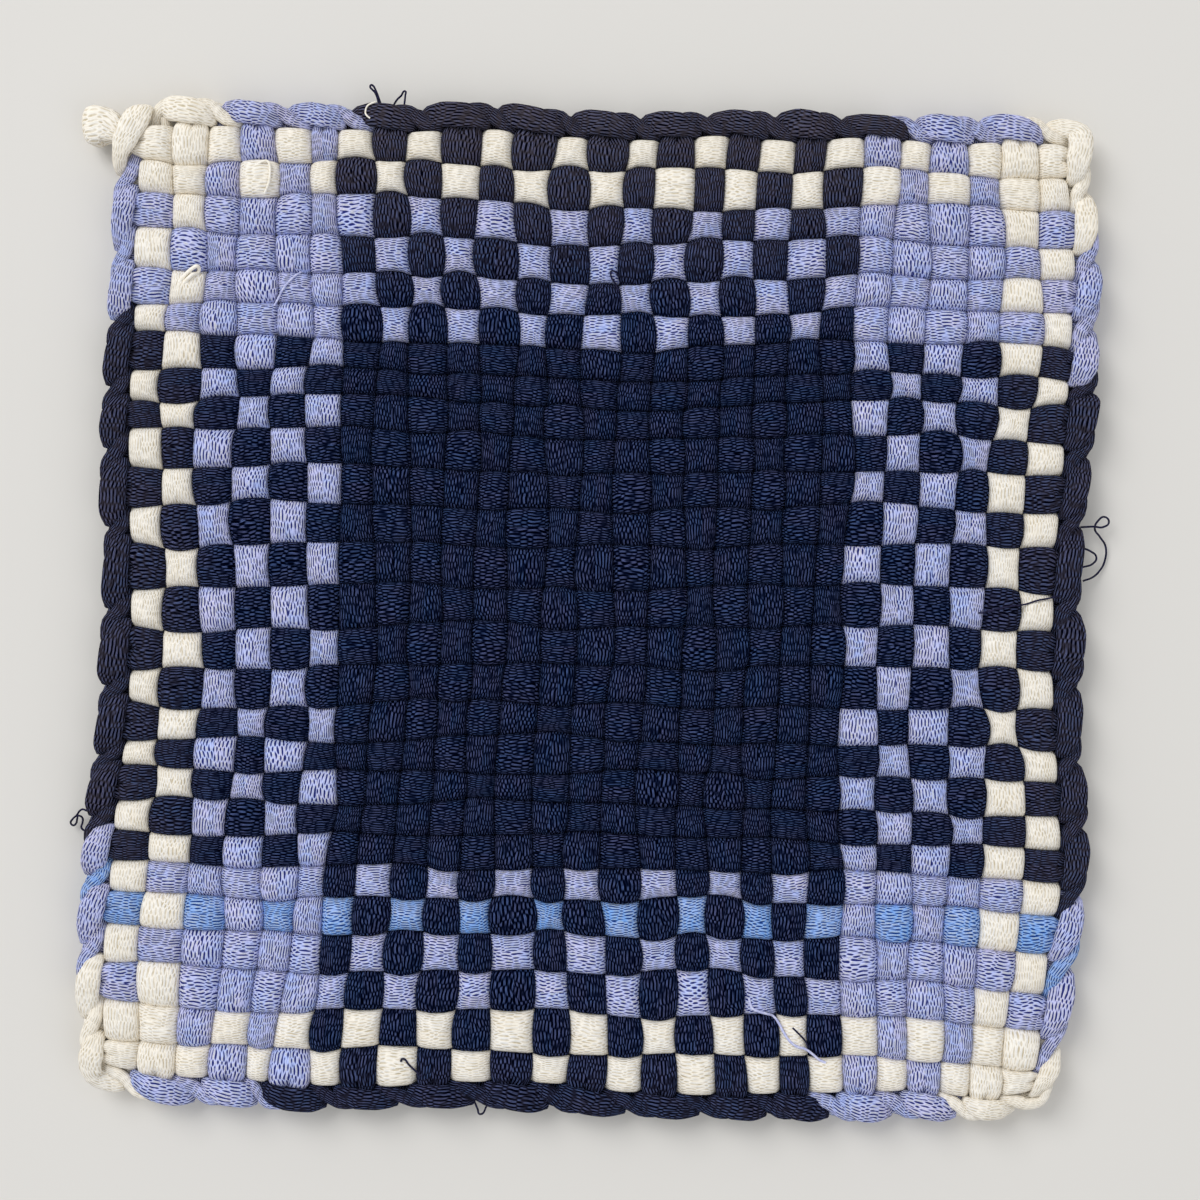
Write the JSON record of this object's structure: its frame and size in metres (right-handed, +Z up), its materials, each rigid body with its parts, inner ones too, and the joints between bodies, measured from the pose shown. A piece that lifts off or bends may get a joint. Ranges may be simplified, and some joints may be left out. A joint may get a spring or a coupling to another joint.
{
  "type": "woven loop potholder",
  "caption": "Square potholder of plain-woven knitted cotton loops in navy, periwinkle, sky blue and ivory, with a chained edge and a hanging loop at one corner.",
  "frame": {"origin": "middle of the cloth, at the centre crossing, on the surface that it lies on", "axes": "+Z up out of the front of the cloth, +X to the right and +Y up along the warp loops"},
  "size_m": [0.2112, 0.2054, 0.0076],
  "materials": {
    "ivory_cotton": "undyed knitted cotton, matt",
    "periwinkle_cotton": "periwinkle knitted cotton, matt, slightly uneven dye",
    "navy_cotton": "navy knitted cotton, matt",
    "sky_blue_cotton": "sky blue knitted cotton, matt, mottled dye"
  },
  "bodies": {
    "root": {"warp_loop_01": "ivory_cotton", "warp_loop_02": "ivory_cotton", "warp_loop_03": "periwinkle_cotton", "warp_loop_04": "periwinkle_cotton", "warp_loop_05": "periwinkle_cotton", "warp_loop_06": "periwinkle_cotton", "warp_loop_07": "navy_cotton", "warp_loop_08": "navy_cotton", "warp_loop_09": "navy_cotton", "warp_loop_10": "navy_cotton", "warp_loop_11": "navy_cotton", "warp_loop_12": "navy_cotton", "warp_loop_13": "navy_cotton", "warp_loop_14": "navy_cotton", "warp_loop_15": "navy_cotton", "warp_loop_16": "navy_cotton", "warp_loop_17": "navy_cotton", "warp_loop_18": "navy_cotton", "warp_loop_19": "navy_cotton", "warp_loop_20": "navy_cotton", "warp_loop_21": "navy_cotton", "warp_loop_22": "periwinkle_cotton", "warp_loop_23": "periwinkle_cotton", "warp_loop_24": "periwinkle_cotton", "warp_loop_25": "periwinkle_cotton", "warp_loop_26": "ivory_cotton", "warp_loop_27": "ivory_cotton", "weft_loop_01": "ivory_cotton", "weft_loop_02": "ivory_cotton", "weft_loop_03": "periwinkle_cotton", "weft_loop_04": "periwinkle_cotton", "weft_loop_05": "periwinkle_cotton", "weft_loop_06": "periwinkle_cotton", "weft_loop_07": "navy_cotton", "weft_loop_08": "navy_cotton", "weft_loop_09": "navy_cotton", "weft_loop_10": "navy_cotton", "weft_loop_11": "navy_cotton", "weft_loop_12": "navy_cotton", "weft_loop_13": "navy_cotton", "weft_loop_14": "navy_cotton", "weft_loop_15": "navy_cotton", "weft_loop_16": "navy_cotton", "weft_loop_17": "navy_cotton", "weft_loop_18": "navy_cotton", "weft_loop_19": "navy_cotton", "weft_loop_20": "navy_cotton", "weft_loop_21": "navy_cotton", "weft_loop_22": "periwinkle_cotton", "weft_loop_23": "sky_blue_cotton", "weft_loop_24": "periwinkle_cotton", "weft_loop_25": "periwinkle_cotton", "weft_loop_26": "ivory_cotton", "weft_loop_27": "ivory_cotton"}
  },
  "joints": []
}
